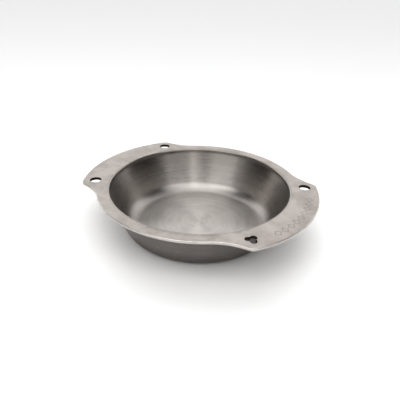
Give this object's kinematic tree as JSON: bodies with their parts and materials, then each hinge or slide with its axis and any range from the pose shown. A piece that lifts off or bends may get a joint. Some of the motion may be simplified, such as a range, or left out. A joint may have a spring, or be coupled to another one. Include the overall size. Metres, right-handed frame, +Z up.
{
  "type": "camp pan",
  "caption": "Round stainless steel camp pan with a drawn bowl and a flat rim plate that widens into two opposite ears with hanging holes.",
  "frame": {"origin": "on the axis of the bowl, at the underside of its floor", "axes": "+Z up out of the mouth, +X along the middle of the ear that carries the three-lobed cut-out"},
  "size_m": [0.263, 0.227, 0.052],
  "materials": {
    "bowl_steel": "satin, brushed round the axis",
    "plate_steel": "matt, bead blasted",
    "weld_steel": "as welded, brushed clean"
  },
  "bodies": {
    "root": {"bowl": "bowl_steel", "rim_plate": "plate_steel", "seam_weld": "weld_steel"}
  },
  "joints": []
}
